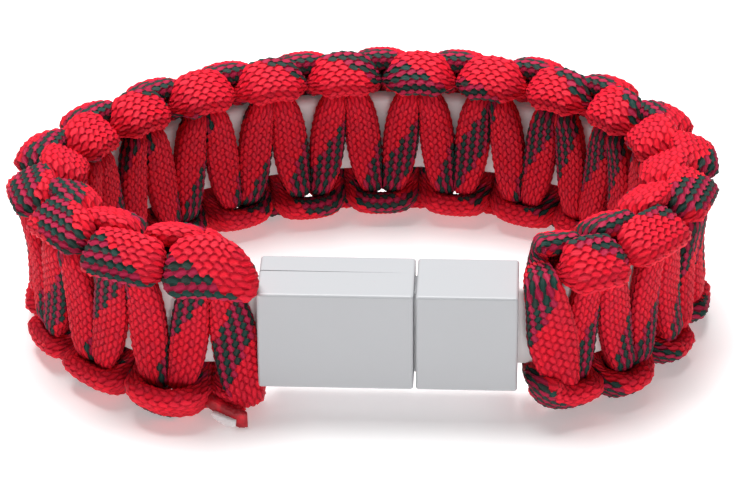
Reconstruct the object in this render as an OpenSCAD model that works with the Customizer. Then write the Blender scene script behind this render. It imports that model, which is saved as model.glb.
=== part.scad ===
// Woven cord bracelet with a two-part plastic block closure, standing on its lower edge.
// Lengths are millimetres. +X runs along the closure block, +Y points away from it to the
// back of the bracelet, and the loop's axis is Z.

/* [Closure block] */
// Depth of the block, front face to back face
block_t = 10.3; // [9:0.1:14]
// Height of the block
block_h = 14.2; // [13.8:0.1:18]
// Length of the socket side, the longer part of the block
socket_len = 20.4; // [17:0.1:23]
// Length of the plug side, the shorter part of the block
plug_len = 13.3; // [12.5:0.1:16]
// Gap where the two sides of the block meet
parting = 0.3; // [0.1:0.05:0.6]
// Thickness of the socket side's front shell
front_shell_t = 6.2; // [5.6:0.1:7.5]
// Gap along the seam between the two shells
seam = 0.12; // [0.05:0.01:0.3]
// Rounding of the block's long edges
long_edge_r = 0.5; // [0.2:0.1:1]
// Rounding of the block's corners as seen from the front
corner_r = 0.7; // [0.2:0.1:1.5]
// How far the block's middle lies below the band's middle
block_drop = 0.6; // [0:0.1:0.8]

/* [Tongue] */
// Height of the tongue that joins the two sides of the block
tongue_h = 12; // [8:0.1:12]
// Thickness of the tongue
tongue_t = 4.5; // [2:0.1:5]
// Length of the tongue inside the socket side
tongue_in_socket = 11.5; // [6:0.1:12]
// Length of the tongue inside the plug side
tongue_in_plug = 7.5; // [4:0.1:8]

/* [Strap] */
// Height of the flat strap that the weave is tied round
strap_h = 11.6; // [9:0.1:12.2]
// Thickness of the strap
strap_t = 2.6; // [1.6:0.1:3.6]
// Length of strap held inside each side of the block
strap_seat = 4; // [2:0.1:4.4]

/* [Cord] */
// Width of the cord where it lies flat across the strap
cord_w = 5; // [3.4:0.1:5.2]
// Thickness of the cord where it lies flat
cord_t = 2.6; // [1.8:0.1:3]
// Width of the cord at the middle of an edge bump
bump_w = 6.4; // [4:0.1:6.8]
// Clearance between neighbouring pieces
gap = 0.1; // [0.05:0.01:0.15]
// Thickness of the cord's flat melted tip
tip_t = 0.9; // [0.6:0.1:1.6]

/* [Weave] */
// Number of bumps along one edge of the band
bumps = 18; // [14:1:19]
// How far a crossing strand leans by the strap's edge, as a share of the knot spacing
fan = 0.09; // [0.04:0.01:0.12]
// How far a strand has turned in where it passes the strap's edge, as a share of the knot spacing
lean = 0.25; // [0.22:0.01:0.26]
// Angle by which a bump's outer face tips away from straight up
bump_tip = 30; // [26:1:34]
// Extra height of a bump over the strands that it covers
bump_slack = 1.2; // [1:0.05:1.6]
// Width that the first and the last bump have, against the others
loose_end = 1.14; // [1:0.01:1.18]
// Extra width of the first and the last crossing strand, which have room on one side
end_spread = 1.2; // [0:0.1:1.3]
// Length of strap between the plug side and the middle of the first crossing
neck_start = 3.2; // [3.1:0.1:6]
// Length of strap between the middle of the last crossing and the socket side
neck_end = 3.8; // [3.6:0.1:7]
// How much shorter the first knots make the band than their even spacing would
start_squeeze = 1.8; // [0:0.1:2]
// How much wider than even the knots are spaced at the back, as a share
back_ease = 0.05; // [0:0.01:0.1]

/* [Loop] */
// Width of the loop between the strap's middle lines
loop_w = 84; // [80:0.5:96]
// Depth of the loop from the block's middle to the strap's middle line at the back
loop_d = 52; // [49:0.5:64]

/* [Hidden] */
$fn = 48;

block_len = socket_len + parting + plug_len;
block_end = block_len / 2;
joint_x = -block_end + socket_len + parting / 2;
straight = 4;
cord_sides = 6;
cord_squareness = 0.8;
// Samples of the loop's line between one guide point and the next
spans = 12;
// Thickness of the cord where it is pinched past the strap's edge, as a share of where it lies flat
pinch = 1.12;
// Clearances kept between two strands that pass side by side
side_gaps = 1.5 * gap;
// Length over which the first knots lose their squeeze, in knot spacings
squeeze_reach = 1.5;

// Guide points of the loop's middle line, from the plug side round the back to the socket side.
// Columns: share of loop_w from the block's middle, share of loop_d from the block's middle
LOOP = [
    [0.335, 0.06], [0.42, 0.215], [0.47, 0.44], [0.44, 0.69], [0.325, 0.9], [0.13, 1.015],
    [-0.1, 1.015], [-0.325, 0.905], [-0.49, 0.71], [-0.57, 0.475], [-0.55, 0.25],
    [-0.46, 0.075], [-0.35, -0.005]
];

// The guide points with the straight run out of each end of the block
guide = concat(
    [for (i = [-1 : 1]) [block_end + i * straight, 0]],
    [for (p = LOOP) [p[0] * loop_w, p[1] * loop_d]],
    [for (i = [1 : -1 : -1]) [-block_end - i * straight, 0]]
);

function weights(t) = [pow(1 - t, 3), 3 * t * t * t - 6 * t * t + 4,
                       -3 * t * t * t + 3 * t * t + 3 * t + 1, t * t * t] / 6;
function slopes(t) = [-pow(1 - t, 2), 3 * t * t - 4 * t, -3 * t * t + 2 * t + 1, t * t] / 2;
function mixed(w, i) = w[0] * guide[i] + w[1] * guide[i + 1] + w[2] * guide[i + 2] + w[3] * guide[i + 3];
function unit(v) = v / norm(v);
function rightward(v) = [v[1], -v[0]];

last = len(guide) - 4;
line = [for (i = [0 : last]) for (j = [0 : (i == last ? spans : spans - 1)]) mixed(weights(j / spans), i)];
outward = [for (i = [0 : last]) for (j = [0 : (i == last ? spans : spans - 1)])
           rightward(unit(mixed(slopes(j / spans), i)))];
function run_lengths(p) = [for (i = 0, s = 0; i < len(p);
                                i = i + 1, s = i < len(p) ? s + norm(p[i] - p[i - 1]) : s) s];
reached = run_lengths(line);
loop_len = reached[len(reached) - 1];
x_at = [for (i = [0 : len(line) - 1]) [reached[i], line[i][0]]];
y_at = [for (i = [0 : len(line) - 1]) [reached[i], line[i][1]]];
out_x_at = [for (i = [0 : len(line) - 1]) [reached[i], outward[i][0]]];
out_y_at = [for (i = [0 : len(line) - 1]) [reached[i], outward[i][1]]];

// A point of the straight band (along, up, out) carried onto the loop
function bent(v) = [
    lookup(v[0], x_at) + v[2] * lookup(v[0], out_x_at),
    lookup(v[0], y_at) + v[2] * lookup(v[0], out_y_at),
    v[1]
];

knots = 2 * bumps;
pitch = (loop_len - neck_start - neck_end + start_squeeze) / knots;
woven = pitch * knots;
pass_w = pitch / 2 - side_gaps;
pass_t = pinch * cord_t;
hug = gap + pass_t / 2;
bump_reach = gap + pass_t + bump_slack + cord_t / 2;

// Place on the loop of a point at this length along the evenly knotted band
function spaced(a) = neck_start - start_squeeze * (1 - exp(-a / (squeeze_reach * pitch)))
    + a - back_ease * woven * sin(360 * a / woven) / (2 * PI);
// Distance out from the strap's middle plane for a cord of this thickness lying on the strap
function lying(t) = strap_t / 2 + gap + t / 2;
// Width left for a crossing strand that has turned in by this share of the knot spacing
function room(share) = min(cord_w, pitch * (1 - 2 * share) - side_gaps);
// A place past the strap's edge: up and out
function past_edge(reach, angle) = [strap_h / 2 + reach * cos(angle), reach * sin(angle)];

// A quarter of the cord's way, from the middle of a crossing to the middle of a bump.
// Columns: along (share of pitch), [up, out], width, thickness, face angle, backward tip of the face
QUARTER = [
    [0, [0, lying(0.95 * cord_t)], room(0), 0.95 * cord_t, 90, 0],
    [-fan, [0.37 * strap_h, lying(1.06 * cord_t)], room(fan), 1.06 * cord_t, 88, 0],
    [-0.86 * lean, past_edge(1.9 * hug, 66), 1.08 * pass_w, 1.2 * cord_t, 68, 0],
    [-lean, past_edge(1.1 * hug, 10), pass_w, pass_t, 15, -0.1],
    [-lean, past_edge(0.62 * bump_reach, -38), pass_w, pass_t, -35, -0.6],
    [-0.35 * lean, past_edge(0.89 * bump_reach, -40), 0.66 * bump_w, 1.08 * cord_t, -bump_tip - 8, -0.75],
    [0.15, past_edge(0.975 * bump_reach, -bump_tip - 1), 0.9 * bump_w, 1.04 * cord_t, -bump_tip - 2, -0.25],
    [0.5, past_edge(bump_reach, 2 - bump_tip), bump_w, cord_t, 2 - bump_tip, 0]
];
turns = len(QUARTER) - 1;
// The rows past this one belong to the bump
last_pass = 4;
// The cord starts just past the strap's edge, tucked in under a bump
first_turn = -3;
// Share of the end strand's extra width at each row before and after its middle
SPREAD = [[-2, 0], [-1, 0.4], [0, 1], [3, 1], [4, 0.6], [5, 0]];
// The melted end past the last crossing.
// Columns: along (share of pitch), up (share of bump_reach), out, width, thickness
TIP = [
    [0.02, 0.7, -1.3, 0.84 * cord_w, 2 * tip_t],
    [0.3, 0.74, -1.36, 0.9 * cord_w, 1.4 * tip_t],
    [0.55, 0.72, -1.42, 0.92 * cord_w, tip_t]
];
tip_face = -60;

// Station j of half-knot k: j runs from one bump's middle (-turns) to the next one's (turns)
function station(k, j) =
    let (q = QUARTER[abs(j)], way = j < 0 ? -1 : 1, flip = k % 2 == 0 ? way : -way,
         outermost = k == 0 ? -1 : k == knots ? 1 : 0,
         extra = end_spread * abs(outermost) * lookup(-outermost * j, SPREAD),
         bump = k + way / 2,
         loose = abs(j) > last_pass && (bump == 1.5 || bump == knots - 0.5) ? loose_end : 1)
    [(k + way * q[0]) * pitch + outermost * extra / 2, flip * q[1][0], q[1][1],
     q[2] * loose + extra, q[3], way * q[5], flip * cos(q[4]), sin(q[4])];
function knot_stations(k) =
    [for (j = [k == 0 ? first_turn : -turns : k == knots ? last_pass : turns - 1]) station(k, j)];
function tip_stations(rows) =
    [for (i = [0 : rows - 1]) let (q = TIP[i])
        [woven + q[0] * pitch, strap_h / 2 + q[1] * bump_reach, q[2] * cord_t, q[3], q[4],
         0, cos(tip_face), sin(tip_face)]];
function stations(tip_rows) = concat([for (k = [0 : knots]) each knot_stations(k)], tip_stations(tip_rows));

function place(s, i) = [s[i][0], s[i][1], s[i][2]];
function heading(s, i) = unit(place(s, min(i + 1, len(s) - 1)) - place(s, max(i - 1, 0)));
function face_of(s, i) =
    let (f = [s[i][5], s[i][6], s[i][7]], t = heading(s, i))
    unit(f - (f * t) * t);
function squared(v) = sign(v) * pow(abs(v), cord_squareness);
// One ring of the straight cord, carried onto the loop. side is 1 for the cord that crosses
// outside, or -1 for the same cord turned half round the band's middle line
function ring(s, i, side) =
    let (c = place(s, i), f = face_of(s, i), b = cross(heading(s, i), f), w = s[i][3] / 2, t = s[i][4] / 2)
    [for (a = [0 : cord_sides - 1])
        let (turn = 360 * a / cord_sides, p = c + b * w * squared(cos(turn)) + f * t * squared(sin(turn)))
        bent([spaced(p[0]), side * p[1], side * p[2]])];
function cord_rings(s, side) = [for (i = [0 : len(s) - 1]) ring(s, i, side)];
outer_rings = cord_rings(stations(1), 1);
inner_rings = cord_rings(stations(len(TIP)), -1);

// The bracelet stands centred on the origin
function span(axis) = [for (r = [outer_rings, inner_rings]) for (q = r) for (v = q) v[axis]];
x_low = min(span(0));
x_high = max(span(0));
y_low = min(concat(span(1), [-block_t / 2]));
y_high = max(span(1));
z_low = min(span(2));
stand = [-(x_low + x_high) / 2, -(y_low + y_high) / 2, -z_low];

module cord(rings) {
    count = len(rings);
    polyhedron(
        points = [for (r = rings) each r],
        faces = concat(
            [[for (a = [0 : cord_sides - 1]) a]],
            [for (i = [0 : count - 2]) for (a = [0 : cord_sides - 1])
                let (p = i * cord_sides, b = (a + 1) % cord_sides)
                each [[p + a, p + cord_sides + a, p + b],
                      [p + b, p + cord_sides + a, p + cord_sides + b]]],
            [[for (a = [cord_sides - 1 : -1 : 0]) (count - 1) * cord_sides + a]]
        )
    );
}

module cable_core() {
    inside = [for (i = [0 : len(line) - 1]) line[i] - outward[i] * strap_t / 2];
    outside = [for (i = [len(line) - 1 : -1 : 0]) line[i] + outward[i] * strap_t / 2];
    color("whitesmoke")
    translate(stand - [0, 0, strap_h / 2])
    linear_extrude(strap_h)
    polygon(concat(
        [[block_end - strap_seat, -strap_t / 2], [block_end - strap_seat, strap_t / 2]],
        inside,
        [[-block_end + strap_seat, strap_t / 2], [-block_end + strap_seat, -strap_t / 2]],
        outside
    ));
}

module rounded_rect(w, h, r) {
    square([w - 2 * r, h], center = true);
    square([w, h - 2 * r], center = true);
    for (x = [-1, 1], y = [-1, 1])
        translate([x * (w / 2 - r), y * (h / 2 - r)]) circle(r);
}

// A rounded block from x0 to x1 with the pockets for the tongue and the strap's ends
module block(x0, x1) {
    difference() {
        translate([(x0 + x1) / 2, 0, -block_drop])
        intersection() {
            rotate([90, 0, 90]) linear_extrude(x1 - x0, center = true)
                rounded_rect(block_t, block_h, long_edge_r);
            rotate([90, 0, 0]) linear_extrude(block_t + 1, center = true)
                rounded_rect(x1 - x0, block_h, corner_r);
        }
        translate([joint_x + (tongue_in_plug - tongue_in_socket) / 2, 0, -block_drop])
            cube([tongue_in_plug + tongue_in_socket, tongue_t, tongue_h] + 2 * gap * [1, 1, 1], center = true);
        for (x = [-1, 1])
            translate([x * block_end, 0, 0])
                cube([2 * strap_seat, strap_t, strap_h] + 2 * gap * [1, 1, 1], center = true);
    }
}

module shell_half(y0, y1) {
    intersection() {
        block(-block_end, joint_x - parting / 2);
        translate([-block_end - 1, y0, -block_h]) cube([socket_len + 2, y1 - y0, 2 * block_h]);
    }
}

module housing_front_shell() {
    color("gainsboro") translate(stand) shell_half(-block_t, front_shell_t - block_t / 2 - seam / 2);
}

module housing_back_shell() {
    color("gainsboro") translate(stand) shell_half(front_shell_t - block_t / 2 + seam / 2, block_t);
}

module plug_body() {
    color("gainsboro") translate(stand) block(joint_x + parting / 2, block_end);
}

module plug_tongue() {
    color("silver")
    translate(stand + [joint_x + (tongue_in_plug - tongue_in_socket) / 2, 0, -block_drop])
        cube([tongue_in_plug + tongue_in_socket, tongue_t, tongue_h], center = true);
}

module outer_crossing_cord() {
    color("crimson") translate(stand) cord(outer_rings);
}

module inner_crossing_cord() {
    color("firebrick") translate(stand) cord(inner_rings);
}

cable_core();
outer_crossing_cord();
inner_crossing_cord();
housing_front_shell();
housing_back_shell();
plug_body();
plug_tongue();
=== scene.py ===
"""Woven cord bracelet with a two-part block closure, standing on its lower edge.

Lengths are metres in the frame of the solids: +X along the block, +Y to the back of the loop, +Z up.
"""
import math

import bmesh
import bpy
import numpy as np
from bpy.props import FloatProperty, FloatVectorProperty, IntProperty, PointerProperty
from mathutils import Matrix, Vector


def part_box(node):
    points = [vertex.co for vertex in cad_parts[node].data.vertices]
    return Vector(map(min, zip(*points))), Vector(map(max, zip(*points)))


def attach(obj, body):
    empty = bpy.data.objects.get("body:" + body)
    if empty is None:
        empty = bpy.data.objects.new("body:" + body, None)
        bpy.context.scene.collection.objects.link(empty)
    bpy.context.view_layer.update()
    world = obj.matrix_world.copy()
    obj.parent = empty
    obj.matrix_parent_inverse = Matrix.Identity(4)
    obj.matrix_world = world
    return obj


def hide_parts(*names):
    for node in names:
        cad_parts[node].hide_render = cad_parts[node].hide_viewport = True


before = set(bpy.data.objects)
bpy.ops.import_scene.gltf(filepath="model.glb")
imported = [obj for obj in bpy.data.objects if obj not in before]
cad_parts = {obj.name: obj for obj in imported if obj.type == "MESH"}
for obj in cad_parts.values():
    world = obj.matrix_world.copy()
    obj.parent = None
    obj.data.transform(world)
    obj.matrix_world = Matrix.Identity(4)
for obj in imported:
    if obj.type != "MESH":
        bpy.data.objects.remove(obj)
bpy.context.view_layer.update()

bl_info = {
    "name": "Woven cord bracelet",
    "version": (1, 0, 0),
    "blender": (4, 5, 0),
    "location": "View3D > Sidebar > Bracelet",
    "description": "Builds a cobra-weave cord bracelet with a two-part block closure",
    "category": "Object",
}

FRONT_LOW, FRONT_HIGH = (np.array(corner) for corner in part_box("housing_front_shell"))
BACK_LOW, BACK_HIGH = (np.array(corner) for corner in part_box("housing_back_shell"))
PLUG_LOW, PLUG_HIGH = (np.array(corner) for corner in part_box("plug_body"))
PICTURE_WIDTH = 741
MM = 0.001


def length(name, words, value, low=0.0):
    """A length in metres with its name and description."""
    return FloatProperty(name=name, description=words, default=value, min=low, unit="LENGTH", precision=5)


def share(name, words, value, low=-10.0, high=10.0):
    """A plain number with its name and description."""
    return FloatProperty(name=name, description=words, default=value, min=low, max=high, precision=3)


def colour(name, words, value):
    """A colour with its name and description."""
    return FloatVectorProperty(name=name, description=words, default=value, subtype="COLOR",
                               size=3, min=0.0, max=1.0)


def count(name, words, value, low, high):
    """A whole number with its name and description."""
    return IntProperty(name=name, description=words, default=value, min=low, max=high)


def angle(name, words, degrees):
    """An angle with its name and description."""
    return FloatProperty(name=name, description=words, default=math.radians(degrees), subtype="ANGLE")


class BlockSizes(bpy.types.PropertyGroup):
    """Sizes of the closure block"""
    depth: length("Depth", "Front face to back face", float(BACK_HIGH[1] - FRONT_LOW[1]))
    drop: length("Drop", "How far the block's middle lies below the band's middle", 0.0006)
    edge: length("Edge radius", "Rounding of the block's outer edges", 0.00042)
    seam_edge: length("Seam edge radius", "Rounding of the shells' edges along the seam", 0.00012)
    seam_open: length("Seam opening", "Gap between the shells at the band's side", 0.00016)
    slot_clearance: length("Slot clearance", "Gap round the strap where it enters the block", 0.00012)
    slot_depth: length("Slot depth", "Depth of the slot that takes the strap", 0.003)


class StrapSizes(bpy.types.PropertyGroup):
    """Sizes of the flat strap and the loop that it makes"""
    height: length("Height", "Height of the flat strap", 0.0116)
    thickness: length("Thickness", "Thickness of the flat strap", 0.0026)
    edge: length("Edge radius", "Rounding of the strap's edges", 0.0009)
    seat: length("Seat", "Length of strap inside each side of the block", 0.0028)
    loop_width: length("Loop width", "Width of the loop between the strap's middle lines", 0.084)
    loop_depth: length("Loop depth", "Depth of the loop behind the block's middle", 0.052)
    straight: length("Straight run", "Straight strap out of each end of the block", 0.004)


class CordSizes(bpy.types.PropertyGroup):
    """Sizes of the cord and its braided sheath"""
    width: length("Width", "Width where the cord lies flat across the strap", 0.005)
    thickness: length("Thickness", "Thickness where the cord lies flat", 0.0027)
    bump_width: length("Bump width", "Width at the middle of an edge bump", 0.0069)
    clearance: length("Clearance", "Clearance between neighbouring pieces", 0.0001)
    squareness: share("Squareness", "Section shape, from 1 for an ellipse down to a rounded oblong", 0.72)
    columns: count("Columns", "Columns of stitches round the sheath", 20, 8, 32)
    stitch: length("Stitch", "Length of one stitch along the cord", 0.00120)
    relief: length("Relief", "Height of a stitch over the grooves beside it", 0.00030)
    slant: share("Slant", "Slant of a stitch against the cord, in columns to each stitch length", 0.6, 0, 2)
    green_yarns: count("Green yarns", "Neighbouring yarns that are green", 7, 0, 16)


class WeaveSizes(bpy.types.PropertyGroup):
    """Sizes of the cobra weave"""
    bumps: count("Bumps", "Bumps along one edge of the band", 18, 4, 40)
    fan: share("Fan", "Lean of a strand by the strap's edge, as a share of the knot spacing", 0.09)
    lean: share("Lean", "How far a strand has turned in at the edge, as a share of the knot spacing", 0.25)
    bump_slack: length("Bump slack", "Extra height of a bump over the strands that it covers", 0.0013)
    loose_end: share("Loose end", "Width of the first and last bump against the others", 1.14)
    end_spread: length("End spread", "Extra width of the first and last crossing strand", 0.0012)
    neck_start: length("Plug neck", "Strap between the plug side and the first crossing", 0.0032)
    neck_end: length("Socket neck", "Strap between the last crossing and the socket side", 0.0038)
    squeeze: length("Start squeeze", "How much shorter the tight first knots make the band", 0.0018)
    squeeze_reach: share("Squeeze reach", "How far the squeeze reaches, in knot spacings", 1.5, 0.1)
    back_ease: share("Back ease", "How much wider than even the knots are spaced at the back", 0.05)


class Colours(bpy.types.PropertyGroup):
    """Colours of the yarns and the plastics"""
    red: colour("Red yarn", "Main colour of the sheath", (0.96, 0.008, 0.030))
    red_pale: colour("Worn red yarn", "Lighter stitches of the sheath", (1.0, 0.020, 0.055))
    magenta: colour("Magenta yarn", "Stitches between the green ones", (0.50, 0.016, 0.070))
    green: colour("Green yarn", "Dark green stitches", (0.012, 0.060, 0.048))
    melted: colour("Melted end", "Fused end of the sheath", (0.34, 0.006, 0.014))
    core: colour("Inner strand", "White strand inside the cord", (0.93, 0.91, 0.91))
    jacket: colour("Strap", "Flat white strap", (0.92, 0.89, 0.89))
    housing: colour("Housing", "White plastic of the block", (0.52, 0.53, 0.55))
    metal: colour("Tongue", "Plain metal of the hidden tongue", (0.62, 0.62, 0.64))
    floor: colour("Floor", "Plain pale table", (0.92, 0.915, 0.915))


class StageSizes(bpy.types.PropertyGroup):
    """Camera and light"""
    distance: length("Camera distance", "From the camera to the point that it looks at", 0.5232)
    elevation: angle("Elevation", "Camera angle above the table", 29.997)
    azimuth: angle("Azimuth", "Camera angle round the block", 2.67)
    roll: angle("Roll", "Camera turn about its own axis", -0.337)
    pixels: share("Focal length", "Focal length in pixels of the picture", 4074.6, 100, 20000)
    look_x: share("Look right", "Point looked at, from the block's middle to the right", -0.002098)
    look_z: share("Look up", "Point looked at, above the middle of the block", 0.015558)
    key: share("Key light", "Power of the large light above", 9.8, 0, 1000)
    fill: share("Fill light", "Power of the low light in front", 1.3, 0, 1000)
    sky: share("Room light", "Strength of the white room", 0.16, 0, 10)
    glow: share("Table glow", "Light that comes up through the pale table", 0.34, 0, 10)


GROUPS = {"block": BlockSizes, "strap": StrapSizes, "cord": CordSizes, "weave": WeaveSizes,
          "colours": Colours, "stage": StageSizes}


def sizes(name):
    """One group of the scene's settings."""
    return getattr(bpy.context.scene, "bracelet_" + name)


def unit(vectors):
    """The vectors at length 1."""
    return vectors / np.maximum(np.linalg.norm(vectors, axis=-1, keepdims=True), 1e-12)


def lengths_to(points):
    """Length along a line from its start to each of its points."""
    return np.concatenate([[0], np.cumsum(np.linalg.norm(np.diff(points, axis=0), axis=1))])


def eased(values):
    """Values held between 0 and 1, and eased at both ends."""
    values = np.clip(values, 0, 1)
    return values * values * (3 - 2 * values)


def read_off(table, place):
    """What a table of places and numbers gives at this place."""
    return np.interp(place, *np.array(table).T)


def squared(values, power):
    """Sines or cosines of a section between an ellipse, at power 1, and an oblong."""
    return np.sign(values) * np.abs(values) ** power


# Guide points of the loop's middle line, from the plug side round the back to the socket side.
# Columns: share of the loop's width and of its depth, from the block's middle
LOOP = np.array([
    [0.335, 0.06], [0.42, 0.215], [0.47, 0.44], [0.44, 0.69], [0.325, 0.9], [0.13, 1.015],
    [-0.1, 1.015], [-0.325, 0.905], [-0.49, 0.71], [-0.57, 0.475], [-0.55, 0.25],
    [-0.46, 0.075], [-0.35, -0.005],
])
# Points of the middle line to each guide point
SAMPLES = 24

# How far from the middle the band's lean still grows, as a share of the strap's height
LEAN_SPAN = 0.8


class Band:
    """The strap's middle line round the loop, and lengths along it."""

    def __init__(self):
        strap, weave, block = sizes("strap"), sizes("weave"), sizes("block")
        self.origin = np.array([(FRONT_LOW[0] + PLUG_HIGH[0]) / 2, FRONT_LOW[1] + block.depth / 2,
                                (FRONT_LOW[2] + FRONT_HIGH[2]) / 2 + block.drop])
        end = (PLUG_HIGH[0] - FRONT_LOW[0]) / 2
        guide = np.array(
            [(end + i * strap.straight, 0) for i in (-1, 0, 1)]
            + [(x * strap.loop_width, y * strap.loop_depth) for x, y in LOOP]
            + [(-end - i * strap.straight, 0) for i in (1, 0, -1)])
        # A smooth curve that four guide points at a time draw
        line, heading = [], []
        for i in range(len(guide) - 3):
            for t in np.arange(SAMPLES + (i == len(guide) - 4)) / SAMPLES:
                place = np.array([(1 - t) ** 3, 3 * t ** 3 - 6 * t * t + 4,
                                  -3 * t ** 3 + 3 * t * t + 3 * t + 1, t ** 3]) / 6
                slope = np.array([-(1 - t) ** 2, 3 * t * t - 4 * t, -3 * t * t + 2 * t + 1, t * t])
                line.append(place @ guide[i:i + 4])
                heading.append(slope @ guide[i:i + 4])
        self.line, self.heading = np.array(line), unit(np.array(heading))
        self.reach = lengths_to(self.line)
        self.long = self.reach[-1]
        self.knots = 2 * weave.bumps
        self.pitch = (self.long - weave.neck_start - weave.neck_end + weave.squeeze) / self.knots

    def spaced(self, along):
        """Place on the loop of a point at this length along the evenly knotted band."""
        weave = sizes("weave")
        woven = self.pitch * self.knots
        squeeze = weave.squeeze * (1 - np.exp(-along / (weave.squeeze_reach * self.pitch)))
        ease = weave.back_ease * woven * np.sin(2 * np.pi * along / woven) / (2 * np.pi)
        return weave.neck_start - squeeze + along - ease

    def place_of(self, along):
        """Place in knots of these lengths along the loop."""
        even = np.linspace(-self.pitch, (self.knots + 2) * self.pitch, 400)
        return np.interp(along, self.spaced(even), even) / self.pitch

    def carried(self, points):
        """Points of the straight band (along, up, out) carried onto the loop."""
        along, up, out = points[..., 0], points[..., 1], points[..., 2]
        past = along - np.clip(along, 0, self.long)
        hx, hy = (np.interp(along, self.reach, self.heading[:, i]) for i in (0, 1))
        size = np.hypot(hx, hy)
        hx, hy = hx / size, hy / size
        places = self.place_of(along)
        high = sizes("strap").height * LEAN_SPAN
        lower = (high - np.clip(up, -high, high)) / (high + high)
        out = out + lower * read_off(LEAN, places) * MM
        x = np.interp(along, self.reach, self.line[:, 0]) + past * hx + out * hy
        y = np.interp(along, self.reach, self.line[:, 1]) + past * hy - out * hx
        return np.stack([x, y, up], -1) + self.origin


def past_edge(reach, angle):
    """A place past the strap's edge, up and out, at this distance and angle from the edge's middle."""
    turn = math.radians(angle)
    return sizes("strap").height / 2 + reach * math.cos(turn), reach * math.sin(turn)


# Thickness of a pinched strand against a flat one, how fast a strand narrows as it turns in,
# and the clearances beside it
PINCH, TURN_IN, SIDE_GAPS = 1.12, 1.4, 1.5


def quarter_turn(band, tip, slack):
    """A quarter of the cord's way, from the middle of a crossing to the middle of a bump.

    The bump tips back by tip degrees, and stands off by slack.

    Columns: along (share of the knot spacing), up, out, width, thickness, face angle, backward tip.
    """
    cord, weave, strap = sizes("cord"), sizes("weave"), sizes("strap")
    t, free = cord.thickness, cord.clearance
    pinched, pinch_w = PINCH * t, band.pitch / 2 - SIDE_GAPS * free
    hug = free + pinched / 2
    reach = free + pinched + slack + t / 2

    def lying(thick):
        return strap.thickness / 2 + free + thick / 2

    def room(turned):
        return min(cord.width, band.pitch * (1 - TURN_IN * turned) - SIDE_GAPS * free)

    bump = cord.bump_width
    rows = [
        (0, (0, lying(0.95 * t)), room(0), 0.95 * t, 90, 0),
        (-weave.fan, (0.37 * strap.height, lying(1.06 * t)), room(weave.fan), 1.06 * t, 88, 0),
        (-0.86 * weave.lean, past_edge(1.9 * hug, 66), 1.36 * pinch_w, 1.15 * t, 68, 0),
        (-weave.lean, past_edge(1.1 * hug, 10), 1.16 * pinch_w, pinched, 15, -0.1),
        (-weave.lean, past_edge(0.62 * reach, -tip), pinch_w, pinched, -tip, -0.6),
        (-0.8 * weave.lean, past_edge(0.93 * reach, -tip - 3), 0.91 * bump, 1.1 * t, -tip - 2, -0.75),
        (0.12, past_edge(reach, -tip - 1), 0.97 * bump, 1.14 * t, -tip - 1, -0.2),
        (0.5, past_edge(1.02 * reach, -tip), bump, 1.12 * t, -tip, 0),
    ]
    return [(a, up, out, w, th, math.radians(face), back) for a, (up, out), w, th, face, back in rows]


# Rows of a quarter turn after its first, and the last of them that isn't the bump's
TURNS, LAST_PASS = 7, 4

# The cord starts past the strap's edge, tucked in under the first bump
FIRST_TURN = -3

# Extra width of the first and last strand at each row before and after its middle, as a share
SPREAD_ROWS, SPREAD_SHARES = (-2, -1, 0, 3, 4, 5), (0, 0.4, 1, 1, 0.6, 0)

# How single bumps and strands lie apart from the even weave.
# Columns: cord, place in knots, reach in knots, along, up, out (mm), width and thickness factors
APART = [
    ("outer", 0, 0.3, 0.7, 0, 0.9, 1.12, 1.1),
    ("outer", -0.25, 0.4, 1, 0, 0.6, 1.1, 1),
    ("outer", 0.24, 0.2, 0.6, 0.1, 0.9, 1.4, 1.15),
    ("outer", 0.5, 0.3, 0, -0.7, 0, 1, 1),
    ("outer", 1, 0.3, 0, 0, -0.15, 0.94, 0.95),
    ("inner", 0.5, 0.5, 0, 1, 0, 1, 1),
    ("inner", 0.34, 0.14, 0, 1.8, 0.5, 1.25, 1),
    ("inner", 1.5, 0.5, -1.5, -0.7, 0.2, 1, 1),
    ("inner", 3.5, 0.5, -1.4, -0.8, 0, 1, 1),
    ("inner", 2.5, 0.5, -1.3, 0.3, 0.2, 1, 1),
    ("inner", 4.5, 0.5, -0.6, 0, 0, 0.9, 1),
    ("outer", 35.82, 0.2, 0.6, -2.6, 0.6, 1.12, 1.1),
    ("inner", 35.64, 0.16, 1, -0.3, 0.3, 1, 1.1),
    ("inner", 35.82, 0.14, -1.2, -1.4, -0.3, 0.9, 0.9),
    ("inner", 34.5, 0.5, 0, 0.3, 0.5, 1.2, 1),
    ("inner", 35.5, 0.5, 0, 0.3, 0.2, 1.06, 1.06),
    ("inner", 33.5, 0.5, 0, 0, 0.4, 1.04, 1),
]

# How far single bumps' outer ends turn towards the band's middle.
# Columns: cord, place in knots, reach in knots, slope
SKEWED = [("inner", 35.66, 0.12, -0.5), ("inner", 35.3, 0.12, 0.15), ("inner", 0.36, 0.14, 0.4)]

# Length of the bumps on the band's lower and upper edge against the usual: place in knots, and share
LOW_BUMPS = {
    "outer": ((0, 0.84), (36, 0.84)),
    "inner": ((0.5, 0.95), (2.5, 0.5), (4.5, 0.5), (6.5, 0.8), (36, 0.84)),
}
TOP_BUMPS = {
    "outer": ((0, 0.9), (6, 0.84), (10, 0.78), (26, 0.78), (30, 0.84), (36, 0.9)),
    "inner": ((0, 0.8), (1.5, 0.8), (3.5, 1.12), (5, 1), (7, 0.8), (11, 0.62), (25, 0.62), (29, 0.8),
              (32, 1), (36, 1)),
}

# How far the bumps tip over the band's edge: place in knots, and degrees, for each cord
TIPS = {
    "outer": ((0, 24), (6, 22), (12, 30), (24, 30), (30, 22), (36, 24)),
    "inner": ((0, 42), (1.5, 36), (3.5, 30), (5.5, 26), (12, 20), (24, 20), (29.5, 26), (31.5, 31),
              (33.5, 39), (35.5, 44)),
}

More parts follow.
